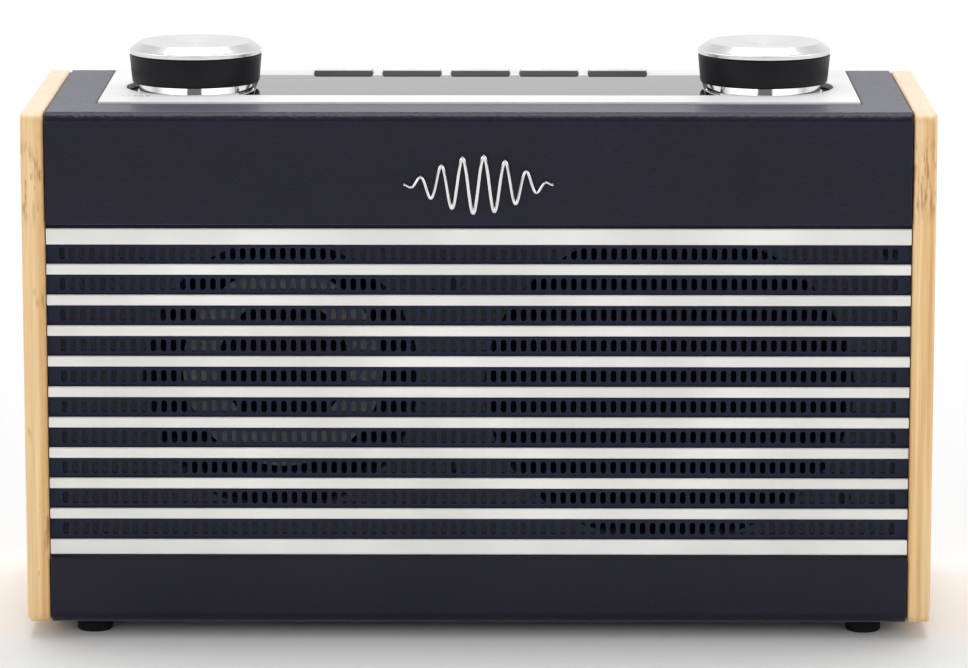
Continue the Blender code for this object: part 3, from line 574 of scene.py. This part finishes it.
def make_driver():
    """A rolled rubber surround, a paper cone and its dust dome; heights are from the surround's seat."""
    x, _, z = centre_of("speaker_cone")
    seat = limits("speaker_cone")[0][1] + SURROUND_DEPTH
    surround = [(36.0, 0.0), (36.0, -0.6), (28.5, -0.6), (28.5, 0.0),
                *arc((32.2, 0.0), 3.4, 180, 0, 16)]
    add(lathe(surround, (x, seat, z), facing="front", closed=True), "speaker_surround", RUBBER)
    cone = [(28.4, -0.4), (24.0, -3.0), (CONE_THROAT + 0.4, -6.5), (CONE_THROAT, -6.9),
            (CONE_THROAT, -7.5), (24.0, -3.8), (28.4, -1.2)]
    add(lathe(cone, (x, seat, z), facing="front", closed=True), "speaker_paper_cone", CONE,
        replaces=["speaker_cone"])
    dome = [(0.0, -2.4), *arc((0.0, -30.4), 28.0, 84, 53, 10)]
    dome = [(r, h) for r, h in dome if r < CONE_THROAT] + [(CONE_THROAT, -7.7), (0.0, -6.0)]
    add(lathe(dome, (x, seat, z), facing="front"), "speaker_dome", RUBBER,
        replaces=["speaker_dust_cap"])


def make_passive_radiator():
    """A flat diaphragm in a rolled surround, spun round and stretched to the oval opening."""
    low, high = limits("passive_radiator")
    x, y, z = centre_of("passive_radiator")
    half_width, half_height = (high[0] - low[0]) / 2, (high[2] - low[2]) / 2
    stretch = half_width / half_height
    profile = [(0.0, 0.2), (30.0, 0.2), (30.6, -0.2), (34.5, -0.4), *arc((38.6, -0.4), 3.6, 170, 10, 12),
               (half_height, -0.4), (half_height, -0.9), (0.0, -0.9)]
    add(lathe(profile, (x, y, z), facing="front", stretch=stretch), "passive_bass_radiator", RUBBER,
        replaces=["passive_radiator"])


# ---------------------------------------------------------------- control plate

KEYS = [f"preset_button_{n}" for n in range(1, 6)]
KNOBS = {"volume": centre_of("volume_knob"), "tuning": centre_of("tuning_knob")}
WINDOW_CUT_HALF_WIDTH = 68.5
KNOB_RECESS_RADIUS = 19.9
KEY_SLACK = 0.2
PIP_PITCH = 1.1
PIP_RADIUS = 0.3
INK_HEIGHT = 0.02


def make_control_plate():
    """The plate with the window's opening, a notch for each key and a round recess for each knob."""
    shape = brick(PLATE_LOW, PLATE_HIGH, 0.5, 3, runs_along(2))
    tall = (PLATE_LOW[2] - 5, PLATE_TOP + 5)
    lens_low, lens_high = limits("display_lens")
    slack = 0.15
    cuts = [cutter(brick((-WINDOW_CUT_HALF_WIDTH, lens_low[1] - slack, tall[0]),
                         (WINDOW_CUT_HALF_WIDTH, lens_high[1] + slack, tall[1])), "window_cut")]
    for key in KEYS:
        low, high = limits(key)
        cuts.append(cutter(brick((low[0] - KEY_SLACK, lens_high[1], tall[0]),
                                 (high[0] + KEY_SLACK, high[1] + KEY_SLACK, tall[1])), "key_cut"))
    for x, y, _ in KNOBS.values():
        profile = [(0, CUT_REACH), (KNOB_RECESS_RADIUS, CUT_REACH), (KNOB_RECESS_RADIUS, -CUT_REACH),
                   (0, -CUT_REACH)]
        cuts.append(cutter(lathe(profile, (x, y, PLATE_TOP), 144), "recess_cut"))
    shape = boolean(shape, cuts)
    round_sharp_edges(shape, 0.2, 2)
    add(shape, "satin_control_plate", PLATE, replaces=["control_plate"])


def make_lens():
    low, high = limits("display_lens")
    shape = brick(low, high, 0.3, 3)
    add(shape, "display_window", LENS, replaces=["display_lens"])


def dot(radius, centre, steps):
    """A printed dot with a bevelled rim."""
    return lathe([(0.0, INK_HEIGHT), (radius - 0.03, INK_HEIGHT), (radius, 0.0), (0.0, 0.0)], centre,
                 steps)


def make_keys():
    """Each key: a dark grey edge of painted shade, a silver cap, one to five dots, a stem below and a dark
    well of painted shade in front.
    """
    for number, key in enumerate(KEYS, 1):
        low, high = limits(key)
        # painted shade: the key's sides are dark grey, a shaded copy of the silver cap
        edge = brick((low[0], low[1], PLATE_TOP - 0.9), (high[0], high[1], high[2] - 0.15), 0.14, 2)
        add(edge, f"{key}_edge", KEY_PAINTED_SHADE, key)
        top = brick((low[0] + 0.12, low[1] + 0.22, high[2] - 0.2),
                    (high[0] - 0.12, high[1] - 0.12, high[2]), 0.08, 2)
        add(top, f"{key}_cap", KEY, key, [key])
        pips = bmesh.new()
        for place in range(number):
            x = (low[0] + high[0]) / 2 + (place - (number - 1) / 2) * PIP_PITCH
            join(pips, dot(PIP_RADIUS, (x, (low[1] + high[1]) / 2, high[2]), 20))
        add(pips, f"{key}_pips", INK, key)
        # painted shade: a dark grey block set in the gap between the window and the key, where there is
        # only shade
        well = brick((low[0] - 0.1, limits("display_lens")[1][1] + 0.25, PLATE_TOP - 1.4),
                     (high[0] + 0.1, low[1] - 0.25, PLATE_TOP - 0.3), 0.1, 2)
        add(well, f"{key}_well", KEY_PAINTED_SHADE)
        stem = brick((low[0] + 5.4, low[1] + 0.4, low[2]), (high[0] - 5.4, high[1] - 2.4, PLATE_TOP - 0.9))
        add(stem, f"{key}_stem", BLACK, key)


def make_knobs():
    """Each knob: a black tapered grip, a dished aluminium cap, and the fixed chrome ring below."""
    for label, (x, y, _) in KNOBS.items():
        body = f"{label}_knob"
        low, high = limits(body)
        base, seam = low[2], high[2]
        top = limits(f"{label}_knob_cap")[1][2]
        radius = (high[0] - low[0]) / 2
        foot = radius - 0.76
        height = seam - base
        grip = [(radius - 0.45, height), *arc((radius - 0.4, height - 0.4), 0.4, 90, 0, 5),
                *arc((foot - 0.4, 0.4), 0.5, -10, -90, 5), (17.0, 0.0), (17.2, height - 3.0),
                (6.2, height - 3.0), (6.0, 1.2), (0.0, 1.2)]
        grip = [(0.0, height)] + grip
        add(lathe(grip, (x, y, base), 144), f"{label}_grip", GRIP, body, [body])
        rise = top - seam
        cap = [(0.0, rise - 0.8), (4.0, rise - 0.77), (8.0, rise - 0.62), (12.0, rise - 0.33),
               (radius - 3.4, rise - 0.05), *arc((radius - 2.9, rise - 0.3), 0.3, 100, 50, 4),
               *arc((radius - 0.6, 1.35), 0.5, 45, 0, 5), (radius - 0.02, 1.2), (radius, 0.35),
               (radius - 0.2, 0.15), (radius - 0.5, 0.05), (0.0, 0.05)]
        piece = add(lathe(cap, (x, y, seam), 192), f"{label}_cap", ALUMINIUM, body,
                    [f"{label}_knob_cap"], smooth=25)
        move_origin(piece, (x, y, seam))
        bezel_low, bezel_high = limits(f"{label}_bezel")
        h = bezel_high[2] - bezel_low[2]
        flange = (bezel_high[0] - bezel_low[0]) / 2
        bezel = [*arc((15.55, h - 0.3), 0.3, 90, 8, 4), (16.45, 1.0),
                 *arc((flange - 0.6, 0.1), 0.6, 120, 0, 6), (flange, 0.0), (14.9, 0.0),
                 (14.9, h - 0.3), (15.2, h)]
        add(lathe(bezel, (x, y, bezel_low[2]), 144, closed=True), f"{label}_chrome_ring", CHROME,
            replaces=[f"{label}_bezel"])


FIRST_MARK_X = -101.0
MARK_PITCH = 1.7
MARK_Y = FRONT + 32.3
FIRST_MARK_RADIUS = 0.25
MARK_GROWTH = 0.12


def make_volume_marks():
    """Five dots that grow, printed beside the volume knob."""
    marks = bmesh.new()
    for k in range(5):
        place = (FIRST_MARK_X + MARK_PITCH * k, MARK_Y, PLATE_TOP)
        join(marks, dot(FIRST_MARK_RADIUS + MARK_GROWTH * k, place, 24))
    add(marks, "volume_marks", INK)


# ---------------------------------------------------------------- badge, feet

EMBLEM_WAVES = 7


def make_emblem():
    """A chrome wire bent into a level wave that swells to the middle."""
    low, high = limits("emblem")
    radius = (high[1] - low[1]) / 2
    x_mid, z_mid = (low[0] + high[0]) / 2, (low[2] + high[2]) / 2
    half_width, half_height = (high[0] - low[0]) / 2 - radius, (high[2] - low[2]) / 2 - radius
    count = EMBLEM_WAVES * 48
    points = []
    radii = []
    for k in range(count + 1):
        across = 2 * k / count - 1
        swell = math.cos(across * math.pi / 2) ** 1.2
        wave = math.sin(across * math.pi * EMBLEM_WAVES)
        points.append((x_mid + half_width * across, (low[1] + high[1]) / 2,
                       z_mid + half_height * swell * wave))
        radii.append(0.7 + 0.3 * swell)
    wire("wave_badge", points, radius, CHROME, replaces=["emblem"], radii=radii)


def make_feet():
    for name in ("front_left", "front_right", "rear_left", "rear_right"):
        node = f"foot_{name}"
        low, high = limits(node)
        x, y, _ = centre_of(node)
        r = (high[0] - low[0]) / 2
        top = high[2]
        profile = [(0.0, top), (r, top), (r, 0.9), *arc((r - 0.8, 0.8), 0.8, 0, -90, 5),
                   (2.4, 0.0), (2.2, 0.2), (2.2, 1.2), (0.0, 1.2)]
        add(lathe(profile, (x, y, 0.0), 64), f"rubber_{node}", RUBBER, replaces=[node])


# ---------------------------------------------------------------- back

DOOR_LOW, DOOR_HIGH = limits("battery_door")
BAY_WALL = 2.0
REAR_PANEL_THICKNESS = 2.5
SCREW_X = 105.5
SCREW_HEIGHTS = (19.0, 62.0, 105.0)
COUNTERBORE_RADIUS = 3.3
COUNTERBORE_DEPTH = 1.0
VENT_COUNT = 6
VENT_PITCH = 5.0
FIRST_VENT_Z = BOTTOM + 82.0
VENT_HALF_WIDTH = 42.0
VENT_HALF_HEIGHT = 1.0
VENT_DEPTH = 1.3
SPRING_TURNS = 5
SPRING_STEPS = 120
SPRING_LENGTH = 8.0


def make_screw(name, centre, radius=2.7):
    """A domed screw with a cross recess, seen from the back."""
    x, y, z = centre
    dome = [(0.0, 0.75), (1.2, 0.71), (2.0, 0.57), (2.5, 0.32), (radius, 0.0), (radius, -0.2), (0.0, -0.2)]
    recess = []
    for half_x, half_z in ((1.5, 0.3), (0.3, 1.5)):
        recess.append(cutter(brick((x - half_x, y + 0.15, z - half_z), (x + half_x, y + 2, z + half_z)),
                             "recess"))
    add(boolean(lathe(dome, centre, 48, "back"), recess), name, STEEL)


def make_rear_panel():
    """A plate with the battery bay as a box on its inside, holes, blind vents and sunk screws."""
    low, high = limits("rear_panel")
    face = high[1]
    half = DOOR_HIGH[0] + 0.3
    bay_low, bay_high = DOOR_LOW[2] - 0.5, DOOR_HIGH[2] + 0.3
    shape = brick((low[0], face - REAR_PANEL_THICKNESS, low[2]), high)
    bay = cutter(brick((-half - BAY_WALL, low[1], bay_low - BAY_WALL),
                       (half + BAY_WALL, face - 1.0, bay_high + BAY_WALL)), "bay_outside")
    shape = boolean(shape, [bay], "UNION")
    cuts = [cutter(brick((-half, low[1] + BAY_WALL, bay_low), (half, face + 5, bay_high)), "bay_inside")]
    for node, radius in (("aerial_swivel", 4.9), ("dc_socket", 5.8), ("headphone_socket", 4.8)):
        x, _, z = centre_of(node)
        cuts.append(cutter(lathe([(0, -9), (radius, -9), (radius, 9), (0, 9)], (x, face, z), 64, "back"),
                           "hole"))
    for k in range(VENT_COUNT):
        z = FIRST_VENT_Z + VENT_PITCH * k
        cuts.append(cutter(brick((-VENT_HALF_WIDTH, face - VENT_DEPTH, z - VENT_HALF_HEIGHT),
                                 (VENT_HALF_WIDTH, face + 2, z + VENT_HALF_HEIGHT), 0.98, 5,
                                 runs_along(1)), "vent"))
    places = [(side * SCREW_X, BOTTOM + height) for side in (-1, 1) for height in SCREW_HEIGHTS]
    bore = [(0, -COUNTERBORE_DEPTH), (COUNTERBORE_RADIUS, -COUNTERBORE_DEPTH), (COUNTERBORE_RADIUS, 2),
            (0, 2)]
    for x, z in places:
        cuts.append(cutter(lathe(bore, (x, face, z), 48, "back"), "counterbore"))
    shape = boolean(shape, cuts)
    round_sharp_edges(shape, 0.22, 2)
    add(shape, "moulded_rear_panel", BLACK, replaces=["rear_panel"])
    for index, (x, z) in enumerate(places, 1):
        make_screw(f"rear_screw_{index}", (x, face - 0.95, z))


def make_battery_contacts():
    """The contact plate at the end of the bay and three conical springs on it."""
    low, high = limits("battery_contacts")
    shape = brick(low, high, 0.2, 2)
    add(shape, "contact_plate", STEEL, replaces=["battery_contacts"])
    y = (low[1] + high[1]) / 2
    for number, z in enumerate((low[2] + 7, (low[2] + high[2]) / 2, high[2] - 7), 1):
        points = []
        for k in range(SPRING_STEPS + 1):
            turn = math.tau * SPRING_TURNS * k / SPRING_STEPS
            radius = 4.4 - 2.0 * k / SPRING_STEPS
            points.append((high[0] + 0.2 + SPRING_LENGTH * k / SPRING_STEPS,
                           y + radius * math.cos(turn), z + radius * math.sin(turn)))
        wire(f"battery_spring_{number}", points, 0.35, STEEL, resolution=3)


def make_battery_door():
    """The door's leaf with a ridged finger grip, and the barrel that it turns on."""
    face = DOOR_HIGH[1] - 0.2
    body = "battery_door"
    shape = brick((DOOR_LOW[0], face - 2.2, DOOR_LOW[2] + 1.3), (DOOR_HIGH[0], face, DOOR_HIGH[2]))
    grip_low, grip_high = DOOR_HIGH[2] - 9.7, DOOR_HIGH[2] - 3.7
    grip = cutter(brick((-11, face - 1.0, grip_low), (11, face + 2, grip_high), 1.5, 5, runs_along(1)),
                  "grip")
    shape = boolean(shape, [grip])
    round_sharp_edges(shape, 0.25, 2)
    add(shape, "battery_door_leaf", BLACK, body, [body])
    for k in range(4):
        z = grip_low + 1.2 + 1.2 * k
        ridge = brick((-9.5, face - 1.05, z - 0.25), (9.5, face - 0.3, z + 0.25), 0.2, 3)
        add(ridge, f"door_ridge_{k + 1}", BLACK, body)
    radius = (DOOR_HIGH[1] - DOOR_LOW[1]) / 2
    length = DOOR_HIGH[0] - DOOR_LOW[0]
    barrel = [(0.0, 0.0), (radius - 0.2, 0.0), (radius, 0.2), (radius, length - 0.2),
              (radius - 0.2, length), (0.0, length)]
    add(lathe(barrel, (DOOR_HIGH[0], (DOOR_LOW[1] + DOOR_HIGH[1]) / 2, DOOR_LOW[2] + radius), 40, "left"),
        "door_hinge_barrel", BLACK, body)


def make_sockets():
    """A round shell and its contact for each socket; the power inlet has a centre pin."""
    for node, bore in (("dc_socket", 2.8), ("headphone_socket", 1.8)):
        low, high = limits(node)
        x, _, z = centre_of(node)
        radius = (high[0] - low[0]) / 2
        ring = [(bore, -0.7), (bore, -10.0), (radius, -10.0), (radius, -0.5),
                *arc((radius - 0.5, -0.5), 0.5, 0, 90, 4), (bore + 0.8, 0.0)]
        add(lathe(ring, (x, high[1], z), 72, "back", closed=True), f"{node}_shell", BLACK,
            replaces=[node])
        floor = [(0.0, -8.5), (bore, -8.5), (bore, -9.5), (0.0, -9.5)]
        if node == "dc_socket":
            floor = [(0.0, -2.2), (0.6, -2.3), (0.95, -2.7), (0.95, -8.5)] + floor[1:]
        add(lathe(floor, (x, high[1], z), 48, "back"), f"{node}_contact", STEEL)
    x, _, z = centre_of("headphone_socket")
    face = limits("headphone_socket")[1][1]
    liner = [(1.35, -0.25), (1.35, -6.0), (1.78, -6.0), (1.78, -0.15), *arc((1.56, -0.2), 0.2, 0, 180, 6)]
    add(lathe(liner, (x, face, z), 48, "back", closed=True), "headphone_liner", CHROME)


AERIAL_HINGE_TO_TUBE = 7.0
AERIAL_TUBE_RADIUS = 3.0
AERIAL_MIDDLE_RADIUS = 2.2
AERIAL_TIP_RADIUS = 1.4
AERIAL_KNOB_RADIUS = 2.6


def make_aerial():
    """A forked post that turns, a tube with an eye between its tines, and two sections that draw out."""
    x, _, z = centre_of("aerial_swivel")
    low, high = limits("aerial_swivel")
    y = (limits("aerial_tube")[0][1] + limits("aerial_tube")[1][1]) / 2
    post = y - 2.9 - low[1]
    profile = [(0.0, 0.0), (4.5, 0.0), (4.5, post - 1.9), (4.1, post - 1.6), (4.1, post - 1.2),
               (4.5, post - 0.9), *arc((4.1, post - 0.4), 0.4, 0, 90, 4), (0.0, post)]
    add(lathe(profile, (x, low[1], z), 64, "back"), "aerial_post", CHROME, "aerial_swivel",
        ["aerial_swivel"])
    for side, label in ((-1, "lower"), (1, "upper")):
        ends = sorted((z + side * 1.9, z + side * 3.9))
        tine = brick((x - 3.6, y - 4.0, ends[0]), (x + 3.6, high[1], ends[1]), 2.6, 8,
                     lambda e: runs_along(2)(e) and e.verts[0].co.y > y * MM)
        round_sharp_edges(tine, 0.25, 2)
        add(tine, f"aerial_fork_{label}", CHROME, "aerial_swivel")
    pin = [(0.0, 4.15), (1.0, 4.1), (1.5, 3.9), (1.5, 3.7), (1.2, 3.7), (1.2, -3.7), (1.5, -3.7),
           (1.5, -3.9), (1.0, -4.1), (0.0, -4.15)]
    add(lathe(pin, (x, y, z), 40), "aerial_pin", STEEL, "aerial_swivel")

    start = x - AERIAL_HINGE_TO_TUBE
    length = start - limits("aerial_tube")[0][0]
    r = AERIAL_TUBE_RADIUS
    tube = [(0.0, 0.0), (r - 0.8, 0.0), (r, 0.8), (r, length - 2.4), (r - 0.2, length - 2.1),
            (r - 0.2, length - 1.7), (r, length - 1.4), (r, length - 0.3), (r - 0.3, length),
            (r - 0.6, length), (r - 0.6, 4.0), (0.0, 4.0)]
    add(lathe(tube, (start, y, z), 56, "left"), "aerial_outer_tube", CHROME, "aerial_tube",
        ["aerial_tube"])
    add(brick((start - 1.0, y - 2.2, z - 1.6), (x - 1.6, y + 2.2, z + 1.6), 0.25, 2), "aerial_tongue",
        CHROME, "aerial_tube")
    eye = [(1.35, 1.3), (1.6, 1.6), (2.1, 1.6), (2.4, 1.3), (2.4, -1.3), (2.1, -1.6), (1.6, -1.6),
           (1.35, -1.3)]
    add(lathe(eye, (x, y, z), 48, closed=True), "aerial_eye", CHROME, "aerial_tube")

    low, high = limits("aerial_middle")
    length = high[0] - low[0]
    r = AERIAL_MIDDLE_RADIUS
    middle = [(0.0, 0.0), (r, 0.0), (r, length - 0.3), (r - 0.25, length), (r - 0.6, length),
              (r - 0.6, 3.0), (0.0, 3.0)]
    add(lathe(middle, (high[0], y, z), 48, "left"), "aerial_middle_tube", CHROME, "aerial_middle",
        ["aerial_middle"])
    low, high = limits("aerial_tip")
    length = high[0] - low[0]
    r, knob = AERIAL_TIP_RADIUS, AERIAL_KNOB_RADIUS
    tip = [(0.0, 0.0), (r, 0.0), (r, length - 3.6), (knob - 0.3, length - 3.6), (knob, length - 3.3),
           (knob, length - 2.2), (knob - 0.15, length - 2.0), (knob, length - 1.8),
           (knob, length - 0.7), (knob - 0.4, length - 0.15), (r, length), (0.0, length)]
    add(lathe(tip, (high[0], y, z), 48, "left"), "aerial_tip_rod", CHROME, "aerial_tip",
        ["aerial_tip"])


# ---------------------------------------------------------------- CAD nodes that stay as they are

def dress_cad_nodes():
    """Give the hidden parts, which keep their CAD shape, materials of their own."""
    looks = {BAFFLE: ["front_baffle", "top_board", "bottom_board"],
             BLACK: ["control_chassis", "speaker_frame", "passive_frame", "display_module"],
             RUBBER: ["button_mat"], BOARD: ["control_board", "main_board"],
             STEEL: ["volume_encoder", "tuning_encoder", "volume_encoder_shaft",
                     "tuning_encoder_shaft", "speaker_magnet"]}
    for material, nodes in looks.items():
        for node in nodes:
            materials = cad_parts[node].data.materials
            materials.clear()
            materials.append(material)


# ---------------------------------------------------------------- studio

CAMERA_X = 9.85
CAMERA_DISTANCE = 1402.4
CAMERA_ABOVE_TOP = 194.4
CAMERA_PITCH = 10.368
CAMERA_YAW = 0.34
LENS_LENGTH = 189.6


def make_camera():
    data = bpy.data.cameras.new("camera")
    data.lens = LENS_LENGTH
    data.sensor_width = 36.0
    data.clip_start = 0.05
    data.clip_end = 50.0
    camera = bpy.data.objects.new("camera", data)
    camera.location = (CAMERA_X * MM, (FRONT - CAMERA_DISTANCE) * MM, (TOP + CAMERA_ABOVE_TOP) * MM)
    camera.rotation_euler = (math.radians(90 - CAMERA_PITCH), 0.0, math.radians(CAMERA_YAW))
    bpy.context.scene.collection.objects.link(camera)
    bpy.context.scene.camera = camera


def make_floor():
    shape = bmesh.new()
    bmesh.ops.create_grid(shape, x_segments=8, y_segments=8, size=12.0)
    look = Look("studio_floor", (0.93, 0.93, 0.93), 0.6, specular=0.15)
    look.roughness(look.noise(3, detail=1), 0.55, 0.65)
    mesh = bpy.data.meshes.new("floor")
    shape.to_mesh(mesh)
    shape.free()
    mesh.materials.append(look.material)
    floor = bpy.data.objects.new("studio_floor", mesh)
    bpy.context.scene.collection.objects.link(floor)


BACK_LOW_GLOW = 1.03
BACK_HIGH_GLOW = 0.78
FRONT_LOW_GLOW = 2.1
FRONT_HIGH_GLOW = 0.15
FRONT_GAP_GLOW = 0.20
LAMP_GLOW = 2.5
LAMP_DIRECTION = (0.0, -0.454, 0.891)
LAMP_EDGE = (0.9930, 0.9985)          # cosines of the angle from the lamp's centre
OVERHEAD = (0.30, 0.62)               # heights between which the walls turn into the ceiling
HORIZON = (0.02, 0.17)                # heights between which the front wall brightens
GAP = (0.940, 0.965)                  # directions between which the dark gap begins
FRONT_HALF = (-0.25, 0.25)            # directions between which the back turns into the front
SUN_ANGLE = 36.0
SUN_STRENGTH = 1.3
SUN_TILT = -13.0


def make_world():
    """A white studio: brightest near the horizon, dimmer overhead, with a dark gap and a lamp in front."""
    world = bpy.data.worlds.new("studio")
    bpy.context.scene.world = world
    world.use_nodes = True
    tree = world.node_tree
    background = tree.nodes["Background"]

    def maths(operation, first, second=0.0, third=0.0):
        made = tree.nodes.new("ShaderNodeMath")
        made.operation = operation
        for socket, value in zip(made.inputs, (first, second, third)):
            if isinstance(value, bpy.types.NodeSocket):
                tree.links.new(value, socket)
            else:
                socket.default_value = value
        return made.outputs[0]

    def blend(first, second, factor):
        return maths("MULTIPLY_ADD", factor, maths("SUBTRACT", second, first), first)

    def ramp(value, bounds):
        made = tree.nodes.new("ShaderNodeMapRange")
        made.interpolation_type = "SMOOTHSTEP"
        tree.links.new(value, made.inputs["Value"])
        made.inputs["From Min"].default_value = bounds[0]
        made.inputs["From Max"].default_value = bounds[1]
        return made.outputs[0]

    direction = tree.nodes.new("ShaderNodeTexCoord").outputs["Generated"]
    split = tree.nodes.new("ShaderNodeSeparateXYZ")
    tree.links.new(direction, split.inputs[0])
    _, along, up = split.outputs
    forward = maths("MULTIPLY", along, -1.0)
    overhead = ramp(up, OVERHEAD)
    behind = blend(BACK_LOW_GLOW, BACK_HIGH_GLOW, overhead)
    walls = blend(FRONT_LOW_GLOW, FRONT_GAP_GLOW, ramp(forward, GAP))
    walls = maths("MULTIPLY", walls, ramp(up, HORIZON))
    in_front = blend(walls, FRONT_HIGH_GLOW, overhead)
    towards = tree.nodes.new("ShaderNodeVectorMath")
    towards.operation = "DOT_PRODUCT"
    tree.links.new(direction, towards.inputs[0])
    towards.inputs[1].default_value = LAMP_DIRECTION
    lamp = maths("MULTIPLY", ramp(towards.outputs["Value"], LAMP_EDGE), LAMP_GLOW)
    strength = maths("ADD", blend(behind, in_front, ramp(forward, FRONT_HALF)), lamp)
    tree.links.new(strength, background.inputs["Strength"])
    background.inputs["Color"].default_value = (1.0, 1.0, 1.0, 1.0)


def make_overhead_light():
    """A broad soft light nearly overhead, tilted so that shadows fall a little to the front."""
    data = bpy.data.lights.new("overhead_softbox", "SUN")
    data.angle = math.radians(SUN_ANGLE)
    data.energy = SUN_STRENGTH
    light = bpy.data.objects.new("overhead_softbox", data)
    light.rotation_euler = (math.radians(SUN_TILT), 0.0, 0.0)
    bpy.context.scene.collection.objects.link(light)


def make_studio():
    make_camera()
    make_floor()
    make_world()
    make_overhead_light()
    bpy.context.scene.view_settings.view_transform = "Standard"


make_studio()
make_leather_cover()
make_end_panels()
make_grille()
make_driver()
make_passive_radiator()
make_control_plate()
make_lens()
make_keys()
make_knobs()
make_volume_marks()
make_emblem()
make_feet()
make_rear_panel()
make_battery_contacts()
make_battery_door()
make_sockets()
make_aerial()
dress_cad_nodes()
